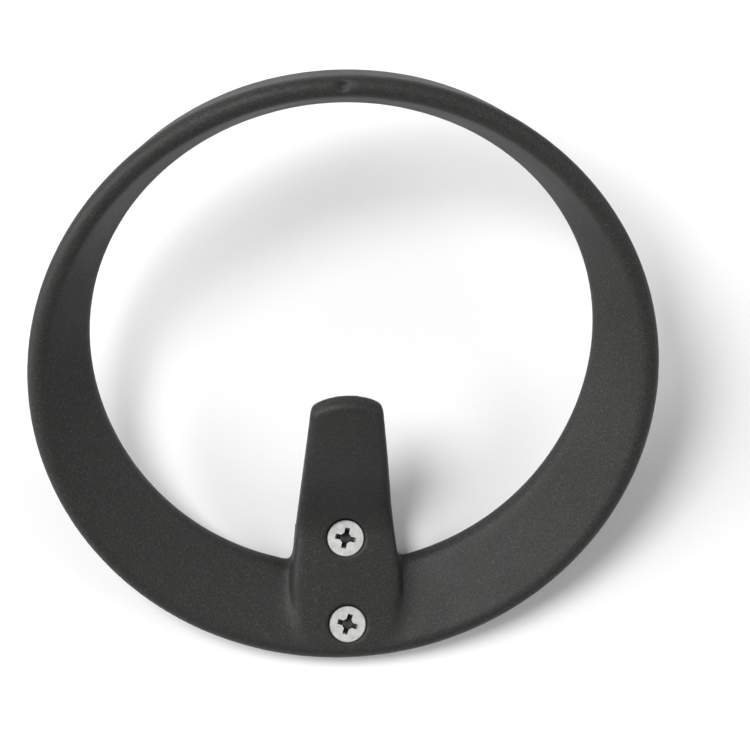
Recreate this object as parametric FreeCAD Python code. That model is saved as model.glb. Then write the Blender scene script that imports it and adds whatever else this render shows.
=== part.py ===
import FreeCAD, Part
import math
import os

# ---------------------------------------------------------------------------
# Ring wall hook: one casting (ring, foot and prong) and two wall screws.
# Millimetres.  X to the right, Z up, the wall is the plane Y = 0 and the hook
# stands out towards -Y.  The origin is on the wall at the lower screw.
# "out" below means the distance from the wall, which is -Y.
# ---------------------------------------------------------------------------

V = FreeCAD.Vector

# Ring: the centre of its front rim follows a circle tilted out from the wall
RIM_PATH_R = 73.1        # radius of that circle
RING_TILT = 23.5         # degrees between the circle and the wall
RIM_FOOT_Z = -5.8        # height of the rim centre at its lowest point
RIM_FOOT_OUT = 5.6       # distance of the rim centre from the wall there
RIM_R = 2.7              # rounding of the front rim
BACK_EDGE_R = 3.95       # rounding of the back edge
BAND_W = (14.2, 2.8, 0.2)              # rim centre to back edge centre, as cosines
BAND_TWIST = (50.9, -43.8, 4.5, 3.6)   # degrees between band and wall, as cosines
STATIONS = 48            # sections round the ring
SECTION_POINTS = 32      # points round each section

# Foot and prong, seen from the side
FOOT_T = 9.3             # thickness of the foot at the lower screw
FACE_LEAN = 9.0          # degrees between the foot's face and the wall
FOOT_BOTTOM_Z = -7.6     # lowest point of the foot
ARM_Z = 26.0             # height where the arm leaves the foot's face
ARM_LEAN = 52.0          # degrees between the arm and the wall
ARM_OUT = 31.0           # where the arm turns up into the tip
ARM_T = 6.4              # thickness of the arm
TIP_LEAN = 43.0          # degrees between the tip and the wall
TIP_Z = 54.2             # height of the front corner of the tip
TIP_T = 4.8              # thickness of the tip
ROOT_OUT = 3.0           # where the arm's back meets the foot
FRONT_R = 12.0           # bend between the foot's face and the arm
KNEE_R = 22.0            # bend between the arm and the tip, in front
THROAT_R = 14.0          # the same behind
ROOT_R = 6.0             # bend at the root

# Foot and prong, seen from the front
TIP_HALF_W = 8.60        # half width at the tip, on the face
FOOT_HALF_W = 13.75      # half width of the foot at its widest, on the face
FOOT_WIDE_Z = 10.0       # height of that widest place
FOOT_LOW_HALF_W = 12.0   # half width at the bottom, before rounding
FOOT_CORNER_R = 9.5      # rounding of the lower corners
TIP_ARC_R = 14.0         # radius of the arc across the tip
TIP_CORNER_R = 2.0       # rounding between that arc and the sides
FACE_EDGE_R = 1.8        # rounding all round the face
BACK_EDGE_ROUND = 1.0    # rounding of the prong's back edges

# Screws: countersunk, cross recess
SCREW_PITCH = 21.5       # distance between the two screws
HEAD_D = 9.0             # head
HEAD_RIM = 0.5           # straight rim of the head
HEAD_SINK = 0.6          # head below the foot's face
NECK_D = 3.6             # plain neck inside the casting
THREAD_D = 4.5           # outside of the thread
SCREW_IN_WALL = 32.0     # length behind the wall plane
POINT_L = 5.0            # length of the point
BORE_D = 10.0            # bore the head sits in
CLEAR_D = 5.0            # clearance hole for the thread
BORE_EDGE = 0.35         # rounding of the bore's mouth
SEAT_GAP = 0.07          # play between a head and its cone, along the axis
RECESS_SPAN = 5.2        # cross recess across two wings, at the top
RECESS_FLOOR = 2.4       # and at its floor
RECESS_DEPTH = 2.6
WING_W = 1.25            # width of a wing
RECESS_CORE_D = 2.7      # middle of the recess
RECESS_TURN = {0: 18.0, SCREW_PITCH: 14.0}

SQUARE = math.radians(90)


def edge_point(centre, radius, angle):
    """Point of a rounded edge in the plane of the band's section."""
    return centre + radius * math.cos(angle), radius * math.sin(angle)


def side_point(width, lean, part_way, side):
    """Point of a straight side of the section, from the rim to the back edge."""
    a0, b0 = edge_point(0.0, RIM_R, SQUARE + lean)
    a1, b1 = edge_point(width, BACK_EDGE_R, SQUARE + lean)
    return a0 + (a1 - a0) * part_way, side * (b0 + (b1 - b0) * part_way)


def section_outline(width):
    """Two rounded edges joined by straight sides, in equal steps round it."""
    lean = math.asin((BACK_EDGE_R - RIM_R) / width)
    side = width * math.cos(lean)
    rim = RIM_R * (math.pi - 2 * lean)
    back = BACK_EDGE_R * (math.pi + 2 * lean)
    total = 2 * side + rim + back
    outline = []
    for i in range(SECTION_POINTS):
        run = total * i / SECTION_POINTS
        past_rim = run - rim / 2
        past_side = past_rim - side
        past_back = past_side - back
        if past_rim < 0:
            outline.append(edge_point(0.0, RIM_R, math.pi - run / RIM_R))
        elif past_side < 0:
            outline.append(side_point(width, lean, past_rim / side, 1))
        elif past_back < 0:
            angle = SQUARE + lean - past_side / BACK_EDGE_R
            outline.append(edge_point(width, BACK_EDGE_R, angle))
        elif past_back < side:
            outline.append(side_point(width, lean, 1 - past_back / side, -1))
        else:
            outline.append(edge_point(0.0, RIM_R, (total - run) / RIM_R - math.pi))
    return outline


def cosines(terms, phi):
    return sum(term * math.cos(k * phi) for k, term in enumerate(terms))


def ring_section(phi):
    """Section of the band at the angle phi from the ring's lowest point."""
    tilt = math.radians(RING_TILT)
    climb = RIM_PATH_R * (1 - math.cos(phi))
    rim = V(RIM_PATH_R * math.sin(phi),
            -RIM_FOOT_OUT - climb * math.sin(tilt),
            RIM_FOOT_Z + climb * math.cos(tilt))
    outward = V(math.sin(phi), 0, -math.cos(phi))
    twist = math.radians(cosines(BAND_TWIST, phi))
    along = outward * -math.cos(twist) + V(0, math.sin(twist), 0)
    across = outward * math.sin(twist) + V(0, math.cos(twist), 0)
    width = cosines(BAND_W, phi)
    return [rim + along * a + across * b for a, b in section_outline(width)]


def closed_surface(grid):
    """Smooth surface, closed both ways, through a grid of points."""
    nu = len(grid)
    nv = len(grid[0])
    poles = [list(row) for row in grid]
    for _ in range(40):
        rows = [[(poles[i - 1][j] + poles[i][j] * 4 + poles[(i + 1) % nu][j]) / 6
                 for j in range(nv)] for i in range(nu)]
        for i in range(nu):
            for j in range(nv):
                at = (rows[i][j - 1] + rows[i][j] * 4 + rows[i][(j + 1) % nv]) / 6
                poles[i][j] = poles[i][j] + (grid[i][j] - at)
    surface = Part.BSplineSurface()
    surface.buildFromPolesMultsKnots(poles, [1] * (nu + 1), [1] * (nv + 1),
                                     list(range(nu + 1)), list(range(nv + 1)),
                                     True, True, 3, 3)
    return surface


def make_ring():
    sections = [ring_section(2 * math.pi * i / STATIONS) for i in range(STATIONS)]
    skin = closed_surface(sections).toShape()
    ring = Part.Solid(Part.Shell([skin]))
    if ring.Volume < 0:
        ring.reverse()
    return ring


def rounded_wire(corners, place):
    """Closed outline of straight lines; each corner is (a, b, rounding)."""
    count = len(corners)
    points = [V(a, b, 0) for a, b, _ in corners]
    pieces = []
    for i in range(count):
        before = (points[i - 1] - points[i]).normalize()
        after = (points[(i + 1) % count] - points[i]).normalize()
        rounding = corners[i][2]
        if rounding == 0:
            pieces.append([points[i]])
            continue
        half = before.getAngle(after) / 2
        reach = rounding / math.tan(half)
        middle = (before + after).normalize()
        nearest = points[i] + middle * (rounding / math.sin(half) - rounding)
        pieces.append([points[i] + before * reach, nearest, points[i] + after * reach])
    edges = []
    for i in range(count):
        arc = [place(p.x, p.y) for p in pieces[i]]
        following = pieces[(i + 1) % count][0]
        following = place(following.x, following.y)
        if len(arc) == 3:
            edges.append(Part.Arc(arc[0], arc[1], arc[2]).toShape())
        if arc[-1].distanceToPoint(following) > 1e-6:
            edges.append(Part.makeLine(arc[-1], following))
    return Part.Wire(edges)


def face_out(z):
    """Distance of the foot's flat face from the wall at the height z."""
    return FOOT_T + z * math.tan(math.radians(FACE_LEAN))


def slanted(out, z, lean, run):
    """Point at a distance from (out, z), going up and out at the angle lean."""
    return out + run * math.sin(lean), z + run * math.cos(lean)


def crossing(first, first_lean, second, second_lean):
    """Where two slanted lines of the side outline cross."""
    between = second_lean - first_lean
    gap_out = second[0] - first[0]
    gap_z = second[1] - first[1]
    run = (gap_out * math.cos(second_lean) - gap_z * math.sin(second_lean)) / -math.sin(between)
    return slanted(first[0], first[1], first_lean, run)


def make_prong():
    """Foot and prong: the side outline, cut to the front outline and the tip arc."""
    arm_lean = math.radians(ARM_LEAN)
    lean = math.radians(TIP_LEAN)
    arm = (face_out(ARM_Z), ARM_Z)
    knee = (ARM_OUT, ARM_Z + (ARM_OUT - arm[0]) / math.tan(arm_lean))
    tip_out = knee[0] + (TIP_Z - knee[1]) * math.tan(lean)
    end = slanted(tip_out, TIP_Z, lean, 10.0)
    behind_end = slanted(end[0], end[1], lean - SQUARE, TIP_T)
    behind_arm = slanted(arm[0], arm[1], arm_lean - SQUARE, ARM_T)
    throat = crossing(behind_arm, arm_lean, behind_end, lean)
    root_z = behind_arm[1] - (behind_arm[0] - ROOT_OUT) / math.tan(arm_lean)
    side = [(0, FOOT_BOTTOM_Z + 1.6, 0),
            (face_out(FOOT_BOTTOM_Z), FOOT_BOTTOM_Z - 0.3, 0),
            (arm[0], arm[1], FRONT_R),
            (knee[0], knee[1], KNEE_R),
            (end[0], end[1], 0),
            (behind_end[0], behind_end[1], 0),
            (throat[0], throat[1], THROAT_R),
            (ROOT_OUT, root_z, ROOT_R),
            (0, root_z - 0.5, 0)]
    slab = Part.Face(rounded_wire(side, lambda a, b: V(-40, -a, b))).extrude(V(80, 0, 0))

    taper = (FOOT_HALF_W - TIP_HALF_W) / (TIP_Z - FOOT_WIDE_Z)
    top_z = TIP_Z + 20.0
    top_half_w = TIP_HALF_W - taper * 20.0
    front = [(-top_half_w, top_z, 0),
             (-FOOT_HALF_W, FOOT_WIDE_Z, 30.0),
             (-FOOT_LOW_HALF_W, FOOT_BOTTOM_Z, FOOT_CORNER_R),
             (FOOT_LOW_HALF_W, FOOT_BOTTOM_Z, FOOT_CORNER_R),
             (FOOT_HALF_W, FOOT_WIDE_Z, 30.0),
             (top_half_w, top_z, 0)]
    plan = Part.Face(rounded_wire(front, lambda a, b: V(a, 5, b))).extrude(V(0, -120, 0))
    blank = slab.common(plan)

    # the arc across the tip, square to the prong's face
    reach = V(0, -math.sin(lean), math.cos(lean))
    face = V(0, -math.cos(lean), -math.sin(lean))
    centre = V(0, -tip_out, TIP_Z) - reach * TIP_ARC_R - face * 80
    pin = Part.makeCylinder(TIP_ARC_R, 160, centre, face)
    pin.rotate(centre, face, 90)
    below = Part.makeBox(80, 160, 200)
    below.Placement = FreeCAD.Placement(
        centre - V(40, 0, 0), FreeCAD.Rotation(V(1, 0, 0), face, -reach, "XYZ"))
    return blank.common(pin.fuse(below)).Solids[0]


def normal_at(face, point):
    u, v = face.Surface.parameter(point)
    return face.normalAt(u, v)


def sharp_edges(shape):
    """Edges where two faces meet at more than 20 degrees, with both normals."""
    found = []
    for edge in shape.Edges:
        faces = shape.ancestorsOfType(edge, Part.Face)
        if len(faces) != 2:
            continue
        middle = edge.valueAt((edge.FirstParameter + edge.LastParameter) / 2)
        first = normal_at(faces[0], middle)
        second = normal_at(faces[1], middle)
        if first.getAngle(second) > math.radians(20):
            found.append((edge, middle, first, second))
    return found


def round_prong(prong):
    corners = [e for e, _, n1, n2 in sharp_edges(prong)
               if n1.x * n2.x > 0.1 and abs(n1.y + n2.y) > 0.2]
    prong = prong.makeFillet(TIP_CORNER_R, corners)
    front = [e for e, _, n1, n2 in sharp_edges(prong) if n1.y + n2.y < -0.4]
    prong = prong.makeFillet(FACE_EDGE_R, front)
    back = [e for e, at, n1, n2 in sharp_edges(prong)
            if n1.y + n2.y > -0.4 and at.y < -0.5 and at.z > FOOT_WIDE_Z]
    return prong.makeFillet(BACK_EDGE_ROUND, back)


def screw_room(z):
    """What is cut away for one screw: bore, cone under the head, clearance hole."""
    axis = V(0, -1, 0)
    cone = (BORE_D - CLEAR_D) / 2
    mouth = head_out(z) - HEAD_RIM - SEAT_GAP + (BORE_D - HEAD_D) / 2
    bore = Part.makeCylinder(BORE_D / 2, 60, V(0, -mouth, z), axis)
    seat = Part.makeCone(CLEAR_D / 2, BORE_D / 2, cone, V(0, cone - mouth, z), axis)
    hole = Part.makeCylinder(CLEAR_D / 2, 100, V(0, 1, z), axis)
    return bore.fuse([seat, hole])


def round_mouths(casting):
    """Round the mouths of the two bores."""
    mouths = []
    for edge, at, _, _ in sharp_edges(casting):
        near = min(math.hypot(at.x, at.z), math.hypot(at.x, at.z - SCREW_PITCH))
        if abs(near - BORE_D / 2) < 0.05 and -at.y > face_out(at.z) - 0.3:
            mouths.append(edge)
    return casting.makeFillet(BORE_EDGE, mouths)


def make_casting():
    behind_wall = Part.makeBox(200, 60, 200, V(-100, 0, -50))
    prong = round_prong(make_prong()).cut(behind_wall)
    casting = make_ring().cut(behind_wall).fuse(prong)
    for z in (0, SCREW_PITCH):
        casting = casting.cut(screw_room(z))
    return round_mouths(casting.Solids[0]).Solids[0]


def head_out(z):
    """Distance of a screw head's face from the wall."""
    return face_out(z) - HEAD_SINK


def make_recess(z):
    """Cross recess of one head: two tapered wings and a round core."""
    top = head_out(z) + 0.01
    floor = head_out(z) - RECESS_DEPTH
    core = Part.makeCone(RECESS_CORE_D / 2 - 0.4, RECESS_CORE_D / 2, top - floor,
                         V(0, -floor, z), V(0, -1, 0))
    outline = [V(-RECESS_SPAN / 2, -top, z - WING_W / 2),
               V(RECESS_SPAN / 2, -top, z - WING_W / 2),
               V(RECESS_FLOOR / 2, -floor, z - WING_W / 2),
               V(-RECESS_FLOOR / 2, -floor, z - WING_W / 2)]
    wing = Part.Face(Part.makePolygon(outline + [outline[0]])).extrude(V(0, 0, WING_W))
    other = wing.copy()
    other.rotate(V(0, 0, z), V(0, 1, 0), 90)
    recess = core.fuse([wing, other])
    recess.rotate(V(0, 0, z), V(0, 1, 0), RECESS_TURN[z])
    return recess


def make_screw(z):
    """One screw by its half outline, turned round its axis, with its recess."""
    top = head_out(z)
    rim = top - HEAD_RIM
    under = rim - (HEAD_D - NECK_D) / 2
    outline = [(0, top), (HEAD_D / 2 - 0.15, top), (HEAD_D / 2, top - 0.15),
               (HEAD_D / 2, rim), (NECK_D / 2, under), (NECK_D / 2, 0.2),
               (THREAD_D / 2, -0.3), (THREAD_D / 2, POINT_L - SCREW_IN_WALL),
               (0.3, -SCREW_IN_WALL), (0, -SCREW_IN_WALL)]
    points = [V(r, -out, z) for r, out in outline]
    half = Part.Face(Part.makePolygon(points + [points[0]]))
    return half.revolve(V(0, 0, z), V(0, 1, 0), 360).cut(make_recess(z))


def main():
    casting = make_casting()
    upper = make_screw(SCREW_PITCH)
    lower = make_screw(0)
    os.makedirs("parts", exist_ok=True)
    for name, shape in (("casting", casting), ("upper_screw", upper), ("lower_screw", lower)):
        shape = shape.Solids[0] if shape.Solids else shape
        print(name, shape.isValid(), shape.ShapeType, round(shape.Volume, 1), len(shape.Faces))
        shape.exportStep("parts/" + name + ".step")


main()
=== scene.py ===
import math

import bpy
import numpy as np
from mathutils import Matrix, Vector


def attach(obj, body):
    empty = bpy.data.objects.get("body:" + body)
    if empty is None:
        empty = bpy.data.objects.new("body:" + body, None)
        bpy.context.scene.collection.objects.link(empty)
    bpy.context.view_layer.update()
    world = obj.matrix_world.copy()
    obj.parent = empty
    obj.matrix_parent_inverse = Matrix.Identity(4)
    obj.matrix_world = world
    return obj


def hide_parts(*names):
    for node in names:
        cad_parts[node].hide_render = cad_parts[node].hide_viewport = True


# Looks of the ring wall hook, in metres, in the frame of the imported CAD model: X to the right,
# Z up, the wall is the plane Y = 0 and the hook stands out towards -Y.

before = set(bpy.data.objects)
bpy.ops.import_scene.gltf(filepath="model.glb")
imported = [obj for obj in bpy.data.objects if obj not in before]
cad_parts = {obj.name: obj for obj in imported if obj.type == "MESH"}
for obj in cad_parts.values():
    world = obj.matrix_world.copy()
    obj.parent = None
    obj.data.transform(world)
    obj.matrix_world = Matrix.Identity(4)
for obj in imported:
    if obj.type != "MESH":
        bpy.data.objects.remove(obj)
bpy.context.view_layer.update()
scene = bpy.context.scene
mm = 0.001

# Texture sizes of the coat and the zinc plate, as noise scales per metre.
GRAIN, PEEL, COAT_CLOUD = 2100, 520, 60
ZINC_FINE, ZINC_CLOUD = 3500, 700
RECESS_SHADE_TOP = 0.10 * mm          # painted shade in the cross recess starts this far below a head's front
RECESS_SHADE_FULL = 0.80 * mm         # and is at full painted shade from here
RECESS_SHADE_END = 3.0 * mm           # down to here
RECESS_SHADE_FADE = 0.6 * mm
MIX_PALE, MIX_SHADE, MIX_RESULT = 6, 7, 2        # colour sockets of a Mix node

# Parts of the visual casting.
VOXEL = 0.40 * mm
WELD = 0.003 * mm
SCREW_Z = (0.0, 21.5 * mm)      # the two screw axes, at X = 0
BORE_KEEP = 6.3 * mm            # surface nearer to an axis than this keeps its CAD shape
BORE_FADE = 0.8 * mm
WALL_KEEP = 0.25 * mm           # so does the face on the wall
WALL_FADE = 0.6 * mm
FACE_TOP = 54.2 * mm            # front corner of the tip
TIP_HALF = 8.60 * mm            # half width of the prong there
FOOT_HALF = 13.75 * mm          # half width of the foot at FOOT_Z
FOOT_Z = 10.0 * mm
SEAM_SIDE = 6.0 * mm            # the ring's seam lies within this of X = 0
SEAM_Z = 108.0 * mm             # and above this height
CROWN = 0.40 * mm               # how far the face falls off towards its sides
SOFTEN_ROUNDS = 3               # smoothing of the whole skin, before the rest
CORNER_ROUNDS = 90              # filling of the corners between foot and ring
SEAM_FILL_ROUNDS, SEAM_ROUNDS = 60, 8
PRONG_ROUNDS = 14
LAST_ROUNDS = 2

# Surroundings.
WALL_HALF = 3.0
AMBIENT = 0.28
LIGHTS = (                      # name, place, aim, diameter, watts
    ("key", (-0.925, -2.0, 0.684), (0, 0, 0.06), 0.90, 34),
    ("left_wash", (-2.4, -1.2, 0.10), (0, 0, 0.05), 1.8, 44),
    ("right_fill", (2.2, -1.9, 0.30), (0, 0, 0.05), 1.8, 20),
)
CAMERA_AT = (-0.0355, -0.8, 0.0615)
CAMERA_YAW, CAMERA_ROLL = -0.0558, -0.0311
SENSOR_MM, LENS_MM = 36.0, 153.4416


# --------------------------------------------------------------------------- node helpers
def new_material(name):
    material = bpy.data.materials.new(name)
    material.use_nodes = True
    tree = material.node_tree
    tree.nodes.clear()
    out = tree.nodes.new("ShaderNodeOutputMaterial")
    shader = tree.nodes.new("ShaderNodeBsdfPrincipled")
    tree.links.new(shader.outputs[0], out.inputs["Surface"])
    return material, tree, shader, out


def noise(tree, scale, detail=3.0, rough=0.5, where=None):
    node = tree.nodes.new("ShaderNodeTexNoise")
    node.inputs["Scale"].default_value = scale
    node.inputs["Detail"].default_value = detail
    node.inputs["Roughness"].default_value = rough
    tree.links.new(where, node.inputs["Vector"])
    return node.outputs["Fac"]


def ramp(tree, value, stops):
    node = tree.nodes.new("ShaderNodeValToRGB")
    band = node.color_ramp
    while len(band.elements) < len(stops):
        band.elements.new(0.5)
    for element, (at, colour) in zip(band.elements, stops):
        element.position = at
        element.color = (*colour, 1.0)
    tree.links.new(value, node.inputs["Fac"])
    return node.outputs["Color"]


def spread(tree, value, low, high, to_low, to_high):
    node = tree.nodes.new("ShaderNodeMapRange")
    for name, number in (("From Min", low), ("From Max", high), ("To Min", to_low), ("To Max", to_high)):
        node.inputs[name].default_value = number
    tree.links.new(value, node.inputs["Value"])
    return node.outputs["Result"]


def bump(tree, height, distance, strength=1.0, normal=None):
    node = tree.nodes.new("ShaderNodeBump")
    node.inputs["Strength"].default_value = strength
    node.inputs["Distance"].default_value = distance
    tree.links.new(height, node.inputs["Height"])
    if normal is not None:
        tree.links.new(normal, node.inputs["Normal"])
    return node.outputs["Normal"]


def position(tree):
    return tree.nodes.new("ShaderNodeNewGeometry").outputs["Position"]


# --------------------------------------------------------------------------- materials
def powder_coat():
    """Charcoal powder coat: satin, with a fine orange-peel grain and paler specks."""
    material, tree, shader, _ = new_material("powder_coat")
    at = position(tree)
    grain = noise(tree, GRAIN, 2.0, 0.6, at)
    cloud = noise(tree, COAT_CLOUD, 3.0, 0.5, at)
    peel = noise(tree, PEEL, 2.0, 0.5, at)
    tone = ramp(tree, grain, [(0.32, (0.019, 0.0187, 0.0178)), (0.55, (0.026, 0.0256, 0.0245)),
                              (0.72, (0.047, 0.0462, 0.0446))])
    tree.links.new(tone, shader.inputs["Base Color"])
    rough = spread(tree, cloud, 0.3, 0.7, 0.50, 0.60)
    tree.links.new(rough, shader.inputs["Roughness"])
    first = bump(tree, peel, 0.05 * mm, 0.5)
    tree.links.new(bump(tree, grain, 0.08 * mm, 1.0, first), shader.inputs["Normal"])
    shader.inputs["Specular IOR Level"].default_value = 0.30
    return material


def zinc(name, front):
    """Zinc-plated steel, matte silver. Painted shade darkens the cross recess, below a head's front at Y
    = front.
    """
    material, tree, shader, _ = new_material(name)
    at = position(tree)
    cloud = noise(tree, ZINC_CLOUD, 3.0, 0.6, at)
    fine = noise(tree, ZINC_FINE, 2.0, 0.6, at)
    split = tree.nodes.new("ShaderNodeSeparateXYZ")
    tree.links.new(at, split.inputs[0])
    depth = split.outputs["Y"]
    # painted shade: the zinc is coloured darker with depth in the cross recess, standing in for the
    # shade inside it
    below = spread(tree, depth, front + RECESS_SHADE_TOP, front + RECESS_SHADE_FULL, 0, 1)
    above = spread(tree, depth, front + RECESS_SHADE_END, front + RECESS_SHADE_END + RECESS_SHADE_FADE, 1, 0)
    recess = tree.nodes.new("ShaderNodeMath")
    recess.operation = "MULTIPLY"
    tree.links.new(below, recess.inputs[0])
    tree.links.new(above, recess.inputs[1])
    pale = ramp(tree, cloud, [(0.3, (0.52, 0.52, 0.51)), (0.7, (0.70, 0.70, 0.69))])
    # dark colour painted into the recess as its shade, not a colour the zinc has
    recess_shade_colour = ramp(tree, cloud, [(0.3, (0.030, 0.030, 0.029)), (0.7, (0.13, 0.13, 0.128))])
    mix = tree.nodes.new("ShaderNodeMix")
    mix.data_type = "RGBA"
    tree.links.new(recess.outputs[0], mix.inputs[0])
    tree.links.new(pale, mix.inputs[MIX_PALE])
    tree.links.new(recess_shade_colour, mix.inputs[MIX_SHADE])
    tree.links.new(mix.outputs[MIX_RESULT], shader.inputs["Base Color"])
    tree.links.new(spread(tree, fine, 0.3, 0.7, 0.38, 0.55), shader.inputs["Roughness"])
    tree.links.new(bump(tree, fine, 0.015 * mm, 0.6), shader.inputs["Normal"])
    shader.inputs["Metallic"].default_value = 0.70
    return material


def wall_paint():
    """Plain white wall, seen from its front only."""
    material, tree, shader, out = new_material("wall_paint")
    shader.inputs["Base Color"].default_value = (0.93, 0.93, 0.93, 1)
    shader.inputs["Roughness"].default_value = 0.9
    shader.inputs["Specular IOR Level"].default_value = 0.1
    clear = tree.nodes.new("ShaderNodeBsdfTransparent")
    mix = tree.nodes.new("ShaderNodeMixShader")
    side = tree.nodes.new("ShaderNodeNewGeometry").outputs["Backfacing"]
    tree.links.new(side, mix.inputs[0])
    tree.links.new(shader.outputs[0], mix.inputs[1])
    tree.links.new(clear.outputs[0], mix.inputs[2])
    tree.links.new(mix.outputs[0], out.inputs["Surface"])
    return material


# --------------------------------------------------------------------------- the object
coat = powder_coat()


def dress(node, material):
    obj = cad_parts[node]
    obj.data.materials.clear()
    obj.data.materials.append(material)
    return obj


def ease(values, low, high):
    t = np.clip((values - low) / (high - low), 0, 1)
    return t * t * (3 - 2 * t)


class Skin:
    """A mesh as arrays, with what smoothing needs."""

    def __init__(self, mesh):
        self.co = np.zeros(len(mesh.vertices) * 3)
        mesh.vertices.foreach_get("co", self.co)
        self.co = self.co.reshape(-1, 3)
        edges = np.zeros(len(mesh.edges) * 2, np.int32)
        mesh.edges.foreach_get("vertices", edges)
        self.edges = edges.reshape(-1, 2)
        tris = np.zeros(len(mesh.loop_triangles) * 3, np.int32)
        mesh.loop_triangles.foreach_get("vertices", tris)
        self.tris = tris.reshape(-1, 3)
        self.count = len(self.co)
        self.degree = np.maximum(np.bincount(self.edges.ravel(), minlength=self.count), 1)

    def lean(self):
        """From each point to the middle of its neighbours."""
        total = np.zeros_like(self.co)
        a, b = self.edges[:, 0], self.edges[:, 1]
        for k in range(3):
            total[:, k] = (np.bincount(a, self.co[b, k], self.count)
                           + np.bincount(b, self.co[a, k], self.count))
        return total / self.degree[:, None] - self.co

    def normals(self):
        p0, p1, p2 = (self.co[self.tris[:, k]] for k in range(3))
        cross = np.cross(p1 - p0, p2 - p0)
        total = np.zeros_like(self.co)
        for k in range(3):
            for c in range(3):
                total[:, c] += np.bincount(self.tris[:, k], cross[:, c], self.count)
        return total / np.maximum(np.linalg.norm(total, axis=1), 1e-30)[:, None]

    def relax(self, weight, rounds, share=0.5):
        for _ in range(rounds):
            self.co += self.lean() * (weight * share)[:, None]

    def fill(self, weight, rounds):
        """Fills hollows only, as the metal does in a casting's inside corners."""
        for i in range(rounds):
            if i % 8 == 0:
                normal = self.normals()
            lean = self.lean()
            out = np.maximum((lean * normal).sum(1), 0) * weight * 0.9
            self.co += normal * out[:, None]


def kept(co):
    """0 at the bores and at the wall face, 1 elsewhere."""
    free = ease(-co[:, 1], WALL_KEEP, WALL_KEEP + WALL_FADE)
    for z in SCREW_Z:
        free *= ease(np.hypot(co[:, 0], co[:, 2] - z), BORE_KEEP, BORE_KEEP + BORE_FADE)
    return free


def cast_skin():
    """The casting with the soft inside corners and crowned face of a real cast piece."""
    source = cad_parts["casting"]
    obj = bpy.data.objects.new("casting_skin", source.data.copy())
    scene.collection.objects.link(obj)
    weld = obj.modifiers.new("weld", "WELD")
    weld.merge_threshold = WELD
    remesh = obj.modifiers.new("voxels", "REMESH")
    remesh.mode = "VOXEL"
    remesh.voxel_size = VOXEL
    bpy.context.view_layer.update()
    depsgraph = bpy.context.evaluated_depsgraph_get()
    mesh = bpy.data.meshes.new_from_object(obj.evaluated_get(depsgraph))
    obj.modifiers.clear()
    obj.data = mesh
    mesh.calc_loop_triangles()
    skin = Skin(mesh)

    free = kept(skin.co)
    skin.relax(free, SOFTEN_ROUNDS)
    x, y, z = skin.co.T
    half = TIP_HALF + (FACE_TOP - z) * (FOOT_HALF - TIP_HALF) / (FACE_TOP - FOOT_Z)
    normal = skin.normals()
    front = ease(-normal[:, 1] - 0.35 * normal[:, 2], 0.15, 0.75)
    on_face = front * ease(half + 0.5 * mm - np.abs(x), 0, 0.8 * mm) * ease(z, -6 * mm, 0)
    on_face *= ease(-y, 6.5 * mm, 8.5 * mm)
    skin.co -= normal * (CROWN * (x / half) ** 2 * on_face)[:, None]

    near_side = ease(np.abs(x), 8 * mm, 10 * mm) * (1 - ease(np.abs(x), 19 * mm, 26 * mm))
    corner = near_side * (1 - ease(z, 28 * mm, 32 * mm)) * free
    skin.fill(corner, CORNER_ROUNDS)
    seam = (1 - ease(np.abs(x), SEAM_SIDE, SEAM_SIDE + 2 * mm)) * ease(z, SEAM_Z, SEAM_Z + 4 * mm)
    skin.fill(seam, SEAM_FILL_ROUNDS)
    skin.relax(seam, SEAM_ROUNDS)
    prong = (1 - ease(np.abs(x), 14 * mm, 17 * mm)) * free * ease(z, -2 * mm, 4 * mm)
    skin.relax(prong, PRONG_ROUNDS)
    skin.relax(free, LAST_ROUNDS)

    mesh.vertices.foreach_set("co", skin.co.ravel())
    mesh.update()
    obj.data.materials.clear()
    obj.data.materials.append(coat)
    obj.data.shade_smooth()
    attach(obj, "root")
    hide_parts("casting")
    return obj


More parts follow.
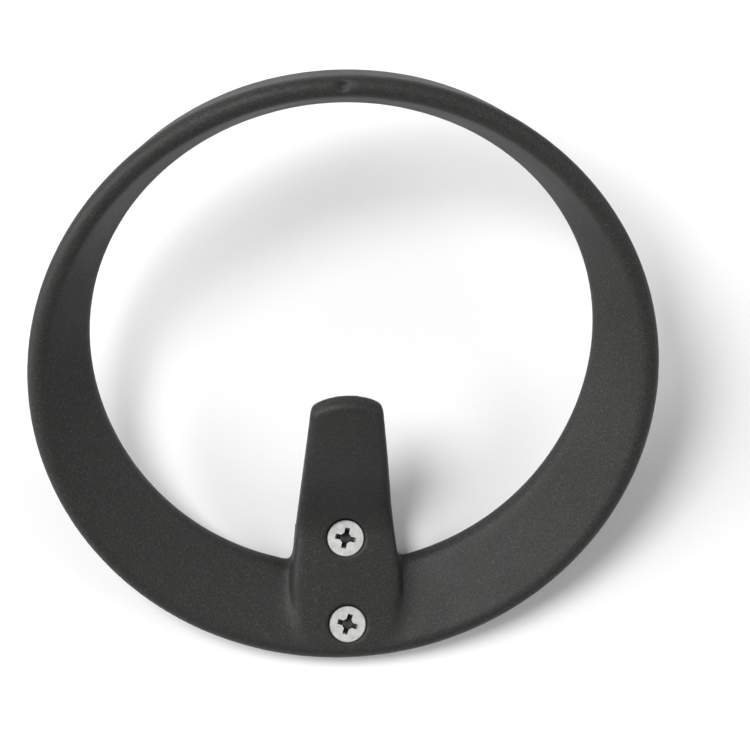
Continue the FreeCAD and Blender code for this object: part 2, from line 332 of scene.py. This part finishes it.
cast_skin()
dress("casting", coat)
for node in ("upper_screw", "lower_screw"):
    head_front = min(vertex.co.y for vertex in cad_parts[node].data.vertices)
    dress(node, zinc(node + "_zinc", head_front))

# --------------------------------------------------------------------------- the wall
wall_mesh = bpy.data.meshes.new("wall")
corners = [(x * WALL_HALF, 0.0, z * WALL_HALF) for x, z in ((-1, -1), (1, -1), (1, 1), (-1, 1))]
wall_mesh.from_pydata(corners, [], [(0, 1, 2, 3)])
wall = bpy.data.objects.new("wall", wall_mesh)
wall_mesh.materials.append(wall_paint())
scene.collection.objects.link(wall)

# --------------------------------------------------------------------------- light
world = bpy.data.worlds.new("studio")
world.use_nodes = True
scene.world = world
back = world.node_tree.nodes["Background"]
back.inputs["Color"].default_value = (1.0, 1.0, 1.0, 1)
back.inputs["Strength"].default_value = AMBIENT
scene.view_settings.view_transform = "Standard"


def soft_light(name, at, aim, size, power):
    data = bpy.data.lights.new(name, "AREA")
    data.shape = "DISK"
    data.size = size
    data.energy = power
    light = bpy.data.objects.new(name, data)
    light.location = at
    light.rotation_euler = (Vector(aim) - Vector(at)).to_track_quat("-Z", "Y").to_euler()
    scene.collection.objects.link(light)


for light in LIGHTS:
    soft_light(*light)

# --------------------------------------------------------------------------- camera
camera_data = bpy.data.cameras.new("camera")
camera = bpy.data.objects.new("camera", camera_data)
scene.collection.objects.link(camera)
scene.camera = camera
camera_data.sensor_width = SENSOR_MM
camera_data.sensor_fit = "HORIZONTAL"
camera_data.lens = LENS_MM
camera_data.clip_start = 0.01
camera_data.clip_end = 50.0
forward = Vector((-math.sin(CAMERA_YAW), math.cos(CAMERA_YAW), 0.0))
level = Vector((math.cos(CAMERA_YAW), math.sin(CAMERA_YAW), 0.0))
upright = Vector((0, 0, 1))
right = level * math.cos(CAMERA_ROLL) + upright * math.sin(CAMERA_ROLL)
up = upright * math.cos(CAMERA_ROLL) - level * math.sin(CAMERA_ROLL)
pose = Matrix((right, up, -forward)).transposed().to_4x4()
pose.translation = Vector(CAMERA_AT)
camera.matrix_world = pose
